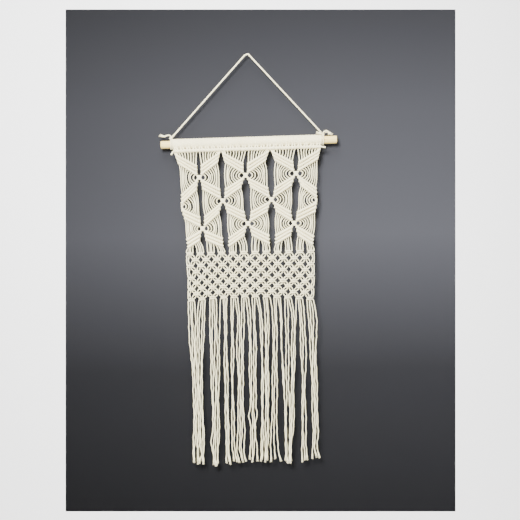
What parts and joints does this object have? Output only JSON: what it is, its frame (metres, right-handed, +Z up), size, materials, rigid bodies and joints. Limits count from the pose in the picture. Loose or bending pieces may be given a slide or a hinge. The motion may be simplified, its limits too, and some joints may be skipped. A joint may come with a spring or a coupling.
{
  "type": "macrame wall hanging on a wooden dowel",
  "caption": "Knotted cotton macrame panel with zigzag bars, a net of square knots and a long fringe, mounted on a wooden dowel and hung from a cord.",
  "frame": {"origin": "point on a wall hook that carries the top of the hanging cord, on the underside of the cord's bend", "axes": "+Z up, front of the panel towards -Y, the wall behind it towards +Y, +X to the right as seen from the front"},
  "size_m": [0.3017, 0.023, 0.7021],
  "materials": {
    "pine": "bare sanded pine",
    "cotton": "matte twisted cotton cord"
  },
  "bodies": {
    "root": {"dowel": "pine", "larks_head_row": "cotton", "knotted_panel": "cotton", "square_knot_net": "cotton", "fringe": "cotton", "hanging_cord": "cotton", "left_tie": "cotton", "right_tie": "cotton"}
  },
  "joints": []
}
